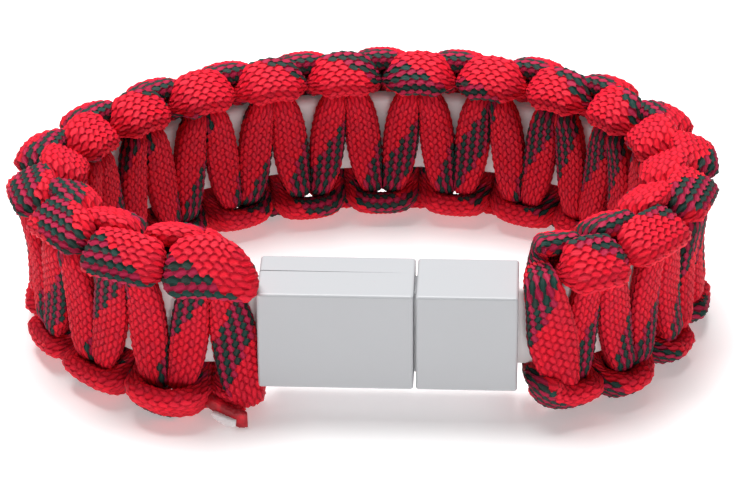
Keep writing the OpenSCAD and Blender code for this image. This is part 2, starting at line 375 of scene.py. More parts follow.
# Slack of the bumps as a share of the usual: place in knots, and share, for each cord
SLACKS = {
    "outer": ((0, 0.8), (6, 0.6), (12, 0.75), (24, 0.75), (30, 0.6), (36, 0.8)),
    "inner": ((0, 1.0), (3.5, 0.9), (6, 0.45), (10, 0.25), (26, 0.25), (29, 0.45), (31.5, 0.9), (36, 1.0)),
}

# How far the band's lower edge stands out from its upper edge: place in knots, and millimetres
LEAN = ((0, 0.3), (3, 0.3), (6, -0.6), (11, -0.8), (15, 0.0), (21, 0.0), (25, -1.6), (29, -1.6),
        (31, -0.8), (32.5, -0.3), (34.5, 2.0), (36.2, 1.2), (37.2, 0.0))

# The cords' tails past the last crossing.
# Columns: along (share of the knot spacing), up, out, width, thickness (mm), face angle (degrees)
TAILS = {
    "outer": [(-0.42, 9.9, -2.7, 4.2, 2.3, -30), (-0.62, 10.7, -2.5, 3.9, 1.9, -20),
              (-0.78, 10.9, -2.3, 3.3, 1.6, -10)],
    "inner": [(-0.08, 10, -3, 4.6, 2.3, -55), (0.2, 10.9, -3.3, 5.2, 1.7, -62),
              (0.42, 11.1, -3.4, 5.2, 1.4, -65)],
}

# Place in knots of the first row of a tail past the last crossing, and the step to each further row
TAIL_PLACE, TAIL_STEP = 0.35, 0.07

# How far each half knot lies off by chance: along, up and out (metres), width and thickness (shares)
CHANCE = (0.00010, 0.00012, 0.00008, 0.025, 0.03)


def cord_stations(band, name):
    """Stations of one cord in the straight band.

    Columns: along, up, out, width, thickness, face (three numbers), place in knots.
    """
    weave, knots = sizes("weave"), band.knots
    found = []
    for k in range(knots + 1):
        outermost = -1 if k == 0 else 1 if k == knots else 0
        first, last = FIRST_TURN if k == 0 else -TURNS, LAST_PASS if k == knots else TURNS - 1
        for j in range(first, last + 1):
            way = -1 if j < 0 else 1
            bump = k + way / 2
            rows = quarter_turn(band, read_off(TIPS[name], bump),
                                weave.bump_slack * read_off(SLACKS[name], bump))
            a, up, out, w, t, face, back = rows[abs(j)]
            flip = way if k % 2 == 0 else -way
            if abs(j) > LAST_PASS:
                low = flip > 0 if name == "inner" else flip < 0
                a = 0.5 + (a - 0.5) * read_off((LOW_BUMPS if low else TOP_BUMPS)[name], bump)
            extra = weave.end_spread * abs(outermost) * np.interp(-outermost * j, SPREAD_ROWS, SPREAD_SHARES)
            loose = weave.loose_end if abs(j) > LAST_PASS and bump in (1.5, knots - 0.5) else 1
            found.append(((k + way * a) * band.pitch + outermost * extra / 2, flip * up, out,
                          w * loose + extra, t, way * back, flip * math.cos(face), math.sin(face),
                          k + way * 0.5 * abs(j) / TURNS))
    for i, (a, up, out, w, t, face) in enumerate(TAILS[name]):
        face = math.radians(face)
        found.append(((knots + a) * band.pitch, up * MM, out * MM, w * MM, t * MM, 0,
                      math.cos(face), math.sin(face), knots + TAIL_PLACE + TAIL_STEP * i))
    found = np.array(found)
    # The inner cord is the outer one turned half round
    found[:, [1, 2, 6, 7]] *= 1 if name == "outer" else -1
    for who, place, far, along, up, out, wide, thick in APART:
        if who == name:
            near = eased(1 - np.abs(found[:, 8] - place) / far)
            found[:, :3] += near[:, None] * np.array([along, up, out]) * MM
            found[:, 3] *= 1 + near * (wide - 1)
            found[:, 4] *= 1 + near * (thick - 1)
    chance = np.random.default_rng(41 if name == "outer" else 83)
    half_knots = np.arange(-1, 2 * knots + 3) / 2
    for column, size in enumerate(CHANCE):
        loose = np.interp(found[:, 8], half_knots, chance.uniform(-size, size, len(half_knots)))
        even = found[:, column]
        found[:, column] = even + loose if column < 3 else even * (1 + loose)
    return found


def smoothed(rows, per):
    """A smooth run through the rows, with this many steps from each row to the next."""
    padded = np.vstack([2 * rows[0] - rows[1], rows, 2 * rows[-1] - rows[-2]])
    t = (np.arange(per) / per)[:, None]
    runs = []
    for i in range(len(rows) - 1):
        p0, p1, p2, p3 = padded[i:i + 4]
        runs.append(0.5 * (2 * p1 + (p2 - p0) * t + (2 * p0 - 5 * p1 + 4 * p2 - p3) * t ** 2
                           + (-p0 + 3 * p1 - 3 * p2 + p3) * t ** 3))
    return np.vstack(runs + [rows[-1:]])


def evened(centre, directions, spread=0.0008):
    """Directions along a line through the centres, evened out over this length."""
    reach = lengths_to(centre)
    per = 6
    step = spread / per
    margin = 20
    even = np.arange(-margin, reach[-1] / step + margin) * step
    weights = np.exp(-0.5 * (np.arange(-3 * per, 3 * per + 1) / per) ** 2)
    weights /= weights.sum()
    smooth = [np.interp(reach, even, np.convolve(np.interp(even, reach, column), weights, "same"))
              for column in directions.T]
    return unit(np.stack(smooth, -1))


# How far from a bump's middle its rings stay level, and over what they ease out of it (knots)
LEVEL_REACH, LEVEL_EASE = 0.235, 0.08

# Steps from one station of a cord to the next
STEPS = 8

# Height over the table at which the lowest bumps flatten, and the height over which they ease into it
REST, REST_EASE = 0.00005, 0.00012


class Run:
    """One whole cord: its middle line, faces and sizes against the length along it."""

    def __init__(self, band, name):
        rows = smoothed(cord_stations(band, name), STEPS)
        centre = rows[:, :3]
        heading = evened(centre, unit(np.gradient(centre, axis=0)))
        face = evened(centre, rows[:, 5:8])
        # Across a bump the rings turn about their own width only, so that its long edges run straight
        level = eased((LEVEL_REACH - np.abs(np.mod(rows[:, 8], 1) - 0.5)) / LEVEL_EASE)
        across = unit(np.stack([np.zeros(len(rows)), -rows[:, 7], rows[:, 6]], -1))
        heading = unit(heading - (level * (heading * across).sum(1))[:, None] * across)
        for who, place, far, slope in SKEWED:
            if who == name:
                near = np.clip(1 - np.abs(rows[:, 8] - place) / far, 0, 1)
                heading = heading + (slope * near)[:, None] * across
        face = unit(face - (face * heading).sum(1, keepdims=True) * heading)
        self.band = band
        self.rows = np.hstack([centre, np.cross(heading, face), face, rows[:, 3:5], rows[:, 8:9]])
        placed = centre.copy()
        placed[:, 0] = band.spaced(placed[:, 0])
        placed = band.carried(placed)
        self.reach = lengths_to(placed)
        self.long = self.reach[-1]

    def at(self, along):
        """Centre, side, face, width, thickness and place in knots at these lengths."""
        got = np.stack([np.interp(along, self.reach, column) for column in self.rows.T], -1)
        return got[..., :3], unit(got[..., 3:6]), unit(got[..., 6:9]), *np.moveaxis(got[..., 9:], -1, 0)

    def surface(self, along, turn, height):
        """Points on the cord at these lengths and angles round it, raised by height."""
        centre, side, face, width, thick, _ = self.at(along)
        power = sizes("cord").squareness
        c, s = np.cos(turn), np.sin(turn)
        x, y = width / 2 * squared(c, power), thick / 2 * squared(s, power)
        nx, ny = c / width, s / thick
        size = np.hypot(nx, ny)
        x, y = x + height * nx / size, y + height * ny / size
        points = centre + side * x[..., None] + face * y[..., None]
        points[..., 0] = self.band.spaced(points[..., 0])
        points = self.band.carried(points)
        points[..., 2] = REST + np.logaddexp(0, (points[..., 2] - REST) / REST_EASE) * REST_EASE
        return points


def even_turns(count, power):
    """Angles that part a section into equal lengths, for a row of width to thickness ratios."""
    ratios = np.geomspace(0.5, 5, 30)
    turn = np.linspace(0, 2 * np.pi, 1441)
    x, y = squared(np.cos(turn), power), squared(np.sin(turn), power)
    table = []
    for ratio in ratios:
        run = lengths_to(np.stack([ratio * x, y], -1))
        table.append(np.interp(np.arange(count) / count * run[-1], run, turn))
    return ratios, np.array(table)


# Mesh rows to one stitch, and points to one column in a row
ROWS, POINTS = 4, 2

# Where a column's middle lies in it, and how far its stitches are set off along the cord
MIDDLE, SET_OFF = 0.75, 0.25

# How much a stitch's ends slant, and how fast its top falls away across it and along it
END_SLANT, ACROSS_FALL, ALONG_FALL = 0.38, 4.8, 2.2

# Height of a stitch that lies on the cord's own surface, and the lowest height in its grooves
SURFACE, GROOVE = 0.6, -0.2

# The least share of the relief that is left where the cord is narrow
LEAST_RELIEF = 0.6


def stitch(u, v, column, floor):
    """Height from 1 down, place across, yarn and number of a column's stitch at column u and stitch v.

    A column's stitches slant one way and its neighbours' the other, half a stitch further on.
    The mesh calls it with arrays of numbers, and the material with values.
    """
    lean = 1.0 - 2.0 * (column % 2.0)
    du = u - column - MIDDLE
    dv = v + lean * (SET_OFF - END_SLANT * du)
    number = floor(dv + 0.5)
    dv = dv - number
    across = du + sizes("cord").slant * lean * dv
    height = 1.0 - ACROSS_FALL * across * across - ALONG_FALL * dv * dv
    return height, across, column + number + MIDDLE - SET_OFF * lean, number, column


def stitch_height(u, v):
    """Height of the stitch that lies on top at column u and stitch v."""
    left = np.floor(u - MIDDLE)
    return np.maximum(*(stitch(u, v, left + side, np.floor)[0] for side in (0, 1)))

# Where the green yarns cross the face of single strands and bumps.
# Place in knots: stitches from that stretch's middle, counted for a sheath of GREEN_COLUMNS columns
GREEN_AT = {
    "outer": {0: 6, 1: 4.3, 2: -5, 2.5: -3, 3: 4.3, 4: -5.5, 31: 3.4, 32: 9, 32.5: 5, 33: -4.1,
              34: -8.5, 34.5: 5, 35: -4.9, 36: 0, **{k + 0.5: 9 for k in range(6, 30)},
              10.5: -5, 12.5: -5, 14.5: 6.5, 16.5: 3.5, 17.5: -4, 18.5: -3.5, 19.5: -6.5, 20.5: -5, 24.5: -6},
    "inner": {0.5: -1.5, 1.5: 5, 2.5: -1, 3.5: 6.5, 5.5: -1, **{k: 9 for k in range(6, 30)},
              **{k + 0.5: 3.4 for k in range(9, 28, 2)}, 10: -3, 11: 3, 12: -3, 13: 3.5, 15: -0.5, 16: 7,
              17: -2.5, 18: 7, 19: -3, 20: 6, 21: -6, 23: -5.5, 26: 5, 27: -6, 29.5: 0, 30.5: -4,
              31.5: -0.5, 32.5: -4, 33.5: -2.8, 34.5: -4, 35.5: -4.7, 36: 9, 36.5: 9},
}
GREEN_COLUMNS = 18


def braid_shift(run, name, rows, knots_at):
    """Whole number of yarns by which the green ones are moved round, at each mesh row."""
    cord = sizes("cord")
    shift = np.zeros(len(knots_at))
    nearest = np.round(knots_at * 2) / 2
    middles = np.interp(nearest, run.rows[:, 11], run.reach) / cord.stitch
    for place, offset in GREEN_AT[name].items():
        here = np.abs(knots_at - place) < 0.25
        centre = middles[here] + offset * cord.columns / GREEN_COLUMNS + cord.columns / 4
        shift[here] = np.round(cord.green_yarns / 2 - centre)
    return shift


# Lanes side by side that one piece of a sheath is laid out in for a bake
LANES = 7


def sheath_piece(run, name, first, last, table):
    """Mesh of one stretch of the braided sheath, from stitch first to stitch last.

    The mesh follows the yarns: its points lie on their edges and on their middles.
    """
    cord = sizes("cord")
    columns = cord.columns
    around = columns * POINTS
    ratios, angles = table
    rows = np.arange(first * ROWS, last * ROWS + 2)
    rows = rows[rows * cord.stitch <= run.long * ROWS]
    count = len(rows)
    step = np.arange(around)[None] * 2 + np.mod(rows, 2)[:, None]
    u = step / (2 * POINTS)
    v = np.repeat(rows[:, None] / ROWS, around, 1)
    along = v * cord.stitch
    _, _, _, width, thick, knots_at = run.at(along[:, 0])
    ratio = np.clip(width / thick, ratios[0], ratios[-1])
    turn = np.zeros_like(u)
    for odd in (0, 1):
        mine = np.mod(rows, 2) == odd
        for j in range(around):
            turn[mine, j] = np.interp(ratio[mine], ratios, angles[:, 2 * j + odd])
    relief = cord.relief * np.clip(width / cord.width, LEAST_RELIEF, 1)[:, None]
    points = run.surface(along, turn, relief * (np.clip(stitch_height(u, v), GROOVE, 1) - SURFACE))
    verts = points.reshape(-1, 3)
    # One four-sided face for each point of the rows that have a row on each side
    i, j = np.meshgrid(np.arange(count - 2), np.arange(around), indexing="ij")
    low = np.mod(rows[:-2], 2)[:, None]
    left, right = np.mod(j - 1 + low, around), np.mod(j + low, around)
    after = (i + 1) * around
    faces = np.stack([i * around + j, after + left, after + around + j, after + right], -1).reshape(-1, 4)
    caps = []
    for end, other, flip in ((0, 1, True), (count - 1, count - 2, False)):
        centre = len(verts)
        verts = np.vstack([verts, verts[end * around:(end + 1) * around].mean(0)])
        j = np.arange(around)
        shifted = np.mod(rows[end], 2)
        own, middle = end * around + j, np.full(around, centre)
        before, after = (other * around + np.mod(j + shifted - back, around) for back in (1, 0))
        sides = [np.stack([middle, before, own], -1), np.stack([middle, own, after], -1)]
        caps += [side[:, ::1 if flip else -1] for side in sides]
    mesh = bpy.data.meshes.new(f"{name}_{first}")
    mesh.from_pydata(verts.tolist(), [], faces.tolist() + [c for cap in caps for c in cap.tolist()])
    shift = braid_shift(run, name, rows, knots_at)
    kept = mesh.attributes.new("green_shift", "FLOAT", "POINT")
    kept.data.foreach_set("value", np.concatenate([np.repeat(shift, around), [shift[0], shift[-1]]]))
    # Corner maps: column and stitch for the material, and the stretches laid side by side for a bake
    middle_step = np.repeat(np.arange(around)[None] * 2, count - 2, 0) + low
    offsets = np.array([0, -1, 0, 1])
    across = ((middle_step[..., None] + offsets) / (2 * POINTS)).reshape(-1, 4)
    row_at = np.repeat(np.arange(count - 2)[:, None], around, 1)[..., None] + np.array([0, 1, 2, 1])
    row_at = row_at.reshape(-1, 4)
    corner_count = 3 * sum(len(cap) for cap in caps)
    braid = np.stack([across, rows[row_at] / ROWS], -1).reshape(-1, 2)
    braid = np.vstack([braid, np.zeros((corner_count, 2))])
    mesh.uv_layers.new(name="Braid").data.foreach_set("uv", braid.ravel())
    per_lane = -(-count // LANES)
    lane = row_at[:, :1] // per_lane
    x = (lane + 0.04 + 0.92 * (across + 0.25) / (columns + 0.5)) / LANES
    y = 0.01 + 0.97 * (row_at - lane * per_lane) / (per_lane + 2)
    laid = np.vstack([np.stack([x, y], -1).reshape(-1, 2), np.full((corner_count, 2), 0.002)])
    mesh.uv_layers.new(name="OFBake").data.foreach_set("uv", laid.ravel())
    mesh.uv_layers.active = mesh.uv_layers["Braid"]
    mesh.shade_smooth()
    mesh.polygons.foreach_set("use_smooth", np.arange(len(mesh.polygons)) < len(faces))
    return mesh


# Materials

def overload(operation, swapped=False):
    """A method that adds a Math node for one of Python's operators."""
    def method(self, other):
        return self.bench.math(operation, *((other, self) if swapped else (self, other)))
    return method


class Value:
    """A socket that Python's arithmetic adds Math nodes to."""

    def __init__(self, bench, socket):
        self.bench, self.socket = bench, socket

    __add__ = __radd__ = overload("ADD")
    __sub__, __rsub__ = overload("SUBTRACT"), overload("SUBTRACT", True)
    __mul__ = __rmul__ = overload("MULTIPLY")
    __mod__ = overload("FLOORED_MODULO")
    __lt__, __gt__ = overload("LESS_THAN"), overload("GREATER_THAN")


class Bench:
    """A material and the nodes that are added to it."""

    def __init__(self, name, **fixed):
        self.material = bpy.data.materials.new(name)
        self.material.use_nodes = True
        self.nodes, self.links = self.material.node_tree.nodes, self.material.node_tree.links
        self.shader = self.nodes["Principled BSDF"]
        self.tint = sizes("colours")
        self.finish(**fixed)

    def put(self, socket, value):
        """Links a value to a socket, or sets the socket to a number or colour."""
        if isinstance(value, Value):
            self.links.new(value.socket, socket)
        else:
            short = not isinstance(value, (int, float)) and len(value) < len(socket.default_value)
            socket.default_value = (*value, 1.0) if short else value

    def add(self, kind, settings=None, inputs=None, output=0):
        """Adds a node, sets it up, fills its sockets by name or number, and gives one of its outputs."""
        node = self.nodes.new(kind)
        for key, value in (settings or {}).items():
            if key == "stops":
                stops = node.color_ramp.elements
                while len(stops) < len(value):
                    stops.new(0.5)
                for stop, (place, tint) in zip(stops, value):
                    stop.position, stop.color = place, tint
            else:
                setattr(node, key, value)
        for key, value in (inputs or {}).items():
            self.put(node.inputs[key], value)
        return Value(self, node.outputs[output])

    def math(self, operation, *values):
        """A Math node."""
        return self.add("ShaderNodeMath", {"operation": operation}, dict(enumerate(values)))

    def floor(self, value):
        return self.math("FLOOR", value)

    def clamped(self, value):
        return self.add("ShaderNodeClamp", None, {"Value": value})

    def ramp(self, value, low, high, start=0.0, end=1.0):
        """value eased from start at low to end at high."""
        return self.add("ShaderNodeMapRange", {"interpolation_type": "SMOOTHSTEP"},
                        {"Value": value, "From Min": low, "From Max": high, "To Min": start, "To Max": end})

    def mixed(self, factor, one, two, blend="MIX"):
        """Two colours mixed."""
        return self.add("ShaderNodeMix", {"data_type": "RGBA", "blend_type": blend},
                        {0: factor, 6: one, 7: two}, 2)

    def parts(self, vector):
        """The three numbers of a vector."""
        node = self.add("ShaderNodeSeparateXYZ", None, {0: vector}).socket.node
        return [Value(self, socket) for socket in node.outputs]

    def place(self):
        """The point on the piece, in metres."""
        return self.add("ShaderNodeTexCoord", None, None, "Object")

    def noise(self, scale, detail=2.0, rough=0.5, vector=None, stretch=None):
        """Soft noise of this scale per metre."""
        vector = vector or self.place()
        if stretch:
            vector = self.add("ShaderNodeVectorMath", {"operation": "MULTIPLY"}, {0: vector, 1: stretch})
        return self.add("ShaderNodeTexNoise", None,
                        {"Vector": vector, "Scale": scale, "Detail": detail, "Roughness": rough}, "Fac")

    def bump(self, height, distance, strength=1.0):
        """A normal bent by a height."""
        return self.add("ShaderNodeBump", None,
                        {"Height": height, "Distance": distance, "Strength": strength})

    def finish(self, **sockets):
        """Feeds the shader and gives the material."""
        for socket, value in sockets.items():
            self.put(self.shader.inputs[socket.replace("_", " ")], value)
        return self.material


def sheath_material():
    """Braided sheath: slanted stitches in columns, red with a band of green yarns, and painted shade in the
    grooves between stitches.
    """
    cord = sizes("cord")
    bench = Bench("braided_sheath", Specular_IOR_Level=0.16, Sheen_Weight=0.03, Sheen_Roughness=0.5,
                  Sheen_Tint=(1.0, 0.4, 0.45))
    tint = bench.tint
    u, v, _ = bench.parts(bench.add("ShaderNodeUVMap", {"uv_map": "Braid"}))
    shift = bench.add("ShaderNodeAttribute", {"attribute_name": "green_shift"}, None, "Fac")
    left = bench.floor(u - MIDDLE)
    one, two = (stitch(u, v, column, bench.floor) for column in (left, left + 1.0))
    upper = two[0] > one[0]
    height, across, yarn, number, column = (a + upper * (b - a) for a, b in zip(one, two))
    odd = column % 2.0
    green = (yarn + shift) % float(cord.columns) < cord.green_yarns - 0.25
    tile = bench.add("ShaderNodeCombineXYZ", None, {"X": column % float(cord.columns), "Y": number})
    chance = bench.add("ShaderNodeTexWhiteNoise", {"noise_dimensions": "3D"}, {"Vector": tile}, "Value")
    plump = bench.clamped(height)
    wear = bench.noise(260.0, 3.0)
    red = bench.mixed(bench.clamped(0.7 * chance + 0.6 * wear - 0.25), tint.red, tint.red_pale)
    zone = bench.mixed(odd, tint.green, tint.magenta)
    yarn_colour = bench.mixed(green, red, zone)
    # Painted shade: the colour darkens from a stitch's top down into its grooves, standing in for the shade
    # between the yarns
    painted_groove_shade = bench.ramp(height, -0.5, 0.7)
    groove_shade_colour = bench.mixed(painted_groove_shade, (0.72, 0.56, 0.62), (1.0, 1.0, 1.0))
    base = bench.mixed(1.0, yarn_colour, groove_shade_colour, "MULTIPLY")
    base = bench.mixed(0.22 * chance * chance, base, (0.10, 0.0, 0.008))
    fibres = bench.math("SINE", across * (2 * math.pi * 6.0) + 2.5 * bench.noise(900.0)) * 0.5 + 0.5
    fuzz = bench.noise(2600.0, 3.0, 0.6)
    shape = bench.ramp(height, -0.5, 1.0)
    # The yarns are flat-topped: the height falls over a stitch's middle, against the round mesh
    normal = bench.bump(1.0 - shape - fibres * plump * 0.06 - fuzz * 0.05, 0.0004, 1.0)
    rough = bench.clamped(0.66 - 0.14 * plump + 0.12 * wear - 0.06 * fibres)
    return bench.finish(Base_Color=base, Roughness=rough, Normal=normal)


def strap_material():
    """Smooth white jacket with faint drawn lines along the strap, and a faint painted glow."""
    # The faint emission is painted light: it brightens the strap where it lies in shade between the cords
    bench = Bench("strap_jacket", Specular_IOR_Level=0.4, Emission_Color=(1.0, 0.94, 0.94),
                  Emission_Strength=0.05)
    cloud = bench.noise(90.0, 3.0)
    lines = bench.noise(60.0, 2.0, 0.5, None, (1.0, 1.0, 40.0))
    base = bench.mixed(bench.ramp(cloud, 0.35, 0.75, 0.0, 0.35), bench.tint.jacket, (0.70, 0.66, 0.66))
    rough = 0.38 + 0.14 * cloud + 0.08 * lines
    return bench.finish(Base_Color=base, Roughness=rough, Normal=bench.bump(lines, 0.00002, 0.5))


def housing_material():
    """Satin moulded plastic with a fine spark-eroded texture."""
    bench = Bench("housing_plastic", Specular_IOR_Level=0.45)
    cloud = bench.noise(120.0, 3.0)
    grain = bench.noise(5200.0, 2.0, 0.6)
    scuffs = bench.noise(900.0, 4.0, 0.7, None, (1.0, 0.15, 0.15))
    base = bench.mixed(bench.ramp(cloud, 0.3, 0.8, 0.0, 0.25), bench.tint.housing, (0.49, 0.50, 0.515))
    rough = 0.34 + 0.10 * cloud + 0.10 * bench.ramp(scuffs, 0.62, 0.75)
    normal = bench.bump(grain + 0.3 * scuffs, 0.000012, 0.5)
    return bench.finish(Base_Color=base, Roughness=rough, Normal=normal)


def metal_material():
    """Plain bright metal with fine lines along it."""
    bench = Bench("tongue_metal", Metallic=1.0)
    lines = bench.noise(400.0, 3.0, 0.6, None, (0.06, 1.0, 1.0))
    base = bench.mixed(lines, bench.tint.metal, (0.50, 0.50, 0.52))
    return bench.finish(Base_Color=base, Roughness=0.24 + 0.2 * lines, Normal=bench.bump(lines, 0.00001, 0.4))


def melted_material():
    """Sheath fused hard and shiny by heat, with a few darker scorched spots."""
    bench = Bench("melted_end", Specular_IOR_Level=0.35, Coat_Weight=0.1)
    lumps = bench.noise(1400.0, 4.0, 0.6)
    spots = bench.noise(700.0, 3.0)
    base = bench.mixed(bench.ramp(spots, 0.15, 0.6), bench.tint.red, bench.tint.melted)
    return bench.finish(Base_Color=base, Roughness=0.22 + 0.3 * lumps, Normal=bench.bump(lumps, 0.00012, 0.8))


def core_material():
    """White inner strand with fine twisted fibres."""
    bench = Bench("inner_strand", Specular_IOR_Level=0.2)
    fibres = bench.noise(1500.0, 3.0, 0.6, None, (0.3, 1.0, 1.0))
    base = bench.mixed(fibres, bench.tint.core, (0.84, 0.76, 0.77))
    return bench.finish(Base_Color=base, Roughness=0.55 + 0.2 * fibres,
                        Normal=bench.bump(fibres, 0.0001, 0.8))


def floor_material():
    """Plain pale table."""
    bench = Bench("pale_table", Specular_IOR_Level=0.1, Emission_Color=(1.0, 0.985, 0.985),
                  Emission_Strength=sizes("stage").glow)
    cloud = bench.noise(6.0)
    base = bench.mixed(cloud, bench.tint.floor, (0.90, 0.90, 0.90))
    return bench.finish(Base_Color=base, Roughness=0.75 + 0.1 * cloud)


# Pieces

def placed(name, data):
    """A new object in the scene."""
    thing = bpy.data.objects.new(name, data)
    bpy.context.scene.collection.objects.link(thing)
    return thing


def show(name, mesh, material):
    """Puts a mesh in the scene as a piece of the bracelet."""
    mesh.materials.clear()
    mesh.materials.append(material)
    piece = placed(name, mesh)
    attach(piece, "root")
    return piece


def loft(name, rings):
    """Mesh through rings of equal count, capped at both ends."""
    rings = np.array(rings)
    count, around = rings.shape[:2]
    i, j = np.meshgrid(np.arange(count - 1), np.arange(around), indexing="ij")
    k = (j + 1) % around
    faces = np.stack([i * around + j, i * around + k, (i + 1) * around + k, (i + 1) * around + j], -1)
    faces = faces.reshape(-1, 4).tolist()
    faces.append(list(range(around))[::-1])
    faces.append([(count - 1) * around + n for n in range(around)])
    mesh = bpy.data.meshes.new(name)
    mesh.from_pydata(rings.reshape(-1, 3).tolist(), [], faces)
    bm = bmesh.new()
    bm.from_mesh(mesh)
    bmesh.ops.recalc_face_normals(bm, faces=bm.faces)
    bm.to_mesh(mesh)
    bm.free()
    mesh.shade_smooth()
    return mesh


def rounded_outline(width, height, radius, steps=6):
    """Points of a rounded oblong, centred."""
    points = []
    for quadrant, (sx, sy) in enumerate(((1, 1), (-1, 1), (-1, -1), (1, -1))):
        for turn in np.radians(np.linspace(90 * quadrant, 90 * quadrant + 90, steps)):
            points.append((sx * (width / 2 - radius) + radius * math.cos(turn),
                           sy * (height / 2 - radius) + radius * math.sin(turn)))
    return np.array(points)


def strap_rings(band, places, clearance=0):
    """Rings round the strap at these places along it, this far off its surface."""
    strap = sizes("strap")
    outline = rounded_outline(strap.height + 2 * clearance, strap.thickness + 2 * clearance, strap.edge)
    points = np.zeros((len(places), len(outline), 3))
    points[..., 0] = np.array(places)[:, None]
    points[..., 1:] = outline[None]
    return band.carried(points)


def moulded_box(name, low, high, edge, fine=lambda e: False, fine_edge=0):
    """A box with rounded edges. fine picks the edges that get the small radius instead."""
    bm = bmesh.new()
    bmesh.ops.create_cube(bm, size=1.0)
    low, high = Vector(low), Vector(high)
    for vert in bm.verts:
        vert.co = Vector(low[i] if vert.co[i] < 0 else high[i] for i in range(3))
    for small, radius, steps in ((False, edge, 5), (True, fine_edge, 3)):
        chosen = [e for e in bm.edges if fine(e) == small]
        if chosen:
            bmesh.ops.bevel(bm, geom=chosen, offset=radius, segments=steps, profile=0.5, affect="EDGES",
                            clamp_overlap=True)
    mesh = bpy.data.meshes.new(name)
    bm.to_mesh(mesh)
    bm.free()
    return mesh


def cut(piece, cutter_mesh):
    """Cuts a mesh out of a piece."""
    cutter = placed("cutter", cutter_mesh)
    modifier = piece.modifiers.new("pocket", "BOOLEAN")
    modifier.object, modifier.solver = cutter, "EXACT"
    bpy.context.view_layer.update()
    whole = piece.evaluated_get(bpy.context.evaluated_depsgraph_get())
    mesh = bpy.data.meshes.new_from_object(whole)
    piece.modifiers.clear()
    piece.data = mesh
    bpy.data.objects.remove(cutter)


# Rings along the strap, and the knots past the loop's middle at which each cord's two halves meet
STRAP_RINGS, HALVES_MEET = 420, 0.214


class BRACELET_OT_strap(bpy.types.Operator):
    """Flat white strap that the weave is tied round"""
    bl_idname = "bracelet.strap"
    bl_label = "Strap"

    def execute(self, context):
        band, strap = Band(), sizes("strap")
        rings = strap_rings(band, np.linspace(-strap.seat, band.long + strap.seat, STRAP_RINGS))
        piece = show("flat_strap", loft("flat_strap", rings), strap_material())
        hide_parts("cable_core")
        return {"FINISHED"}


class BRACELET_OT_cords(bpy.types.Operator):
    """Two braided cords woven round the strap"""
    bl_idname = "bracelet.cords"
    bl_label = "Cords"

    def execute(self, context):
        band, cord = Band(), sizes("cord")
        table = even_turns(cord.columns * POINTS * 2, cord.squareness)
        material = sheath_material()
        for name in ("outer", "inner"):
            run = Run(band, name)
            stitches = int(run.long / cord.stitch)
            meet = np.interp(band.knots / 2 + HALVES_MEET, run.rows[:, 11], run.reach)
            middle = int(meet / cord.stitch)
            for label, first, last in (("first", 0, middle), ("second", middle, stitches + 1)):
                mesh = sheath_piece(run, name, first, last, table)
                piece = show(f"{name}_cord_{label}_half", mesh, material)
                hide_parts(f"{name}_crossing_cord")
        return {"FINISHED"}


# The fused tail by the socket side. Columns: right, back and up (mm), half height, half thickness (mm)
TAIL_PLATE = ((-19.4, -31.2, 3.1, 1, 0.7), (-18.3, -32, 2.8, 1.05, 0.7), (-17.2, -32.6, 2.4, 1, 0.6),
              (-16.2, -33, 1.9, 1.15, 0.55), (-15.2, -33.3, 1.5, 1.3, 0.5),
              (-14.3, -33.4, 1.4, 1.25, 0.45), (-14, -33.4, 1.4, 1.05, 0.3))
TAIL_STRAND = ((-18.6, -32.7, 1.9, 0.35, 0.35), (-18.2, -32.9, 1.75, 0.5, 0.5),
               (-17.2, -33.3, 1.35, 0.65, 0.55), (-16.2, -33.6, 1.1, 0.65, 0.55),
               (-15.5, -33.7, 1, 0.55, 0.45))

# Section of a tail, size of its lumps as a share, steps between its stations, and its least height (m)
TAIL_POWER, TAIL_LUMPS, TAIL_STEPS, TAIL_REST = 0.7, 0.05, 6, 0.0001


def tail_piece(name, stations, seed, sides=28):
    """Mesh of a flattened, slightly lumpy run through these stations."""
    rows = smoothed(np.array(stations) * MM, TAIL_STEPS)
    heading = unit(np.gradient(rows[:, :3], axis=0))
    aside = unit(np.cross(heading, [0.0, 0.0, 1.0]))
    upward = np.cross(aside, heading)
    turn = np.arange(sides) / sides * 2 * math.pi
    lumps = 1 + TAIL_LUMPS * np.random.default_rng(seed).standard_normal((len(rows), sides))
    x = squared(np.cos(turn), TAIL_POWER) * lumps * rows[:, 3:4]
    y = squared(np.sin(turn), TAIL_POWER) * lumps * rows[:, 4:5]
    points = rows[:, None, :3] + upward[:, None] * x[..., None] + aside[:, None] * y[..., None]
    points[..., 2] = np.maximum(points[..., 2], TAIL_REST)
    return loft(name, points)


class BRACELET_OT_tail(bpy.types.Operator):
    """Cut and melted end of the cord by the socket side, with the white strand inside it"""
    bl_idname = "bracelet.tail"
    bl_label = "Melted tail"

    def execute(self, context):
        for name, stations, seed, material in (("melted_tail", TAIL_PLATE, 5, melted_material()),
                                               ("inner_strand_end", TAIL_STRAND, 8, core_material())):
            show(name, tail_piece(name, stations, seed), material)
        return {"FINISHED"}


# Share of the socket side's length at which its seam is closed, the least share of its opening, and
# how near the seam the edges are flattened past that (metres)
SEAM_CLOSED, LEAST_SEAM, SEAM_FLAT = 0.75, 0.1, 0.0003


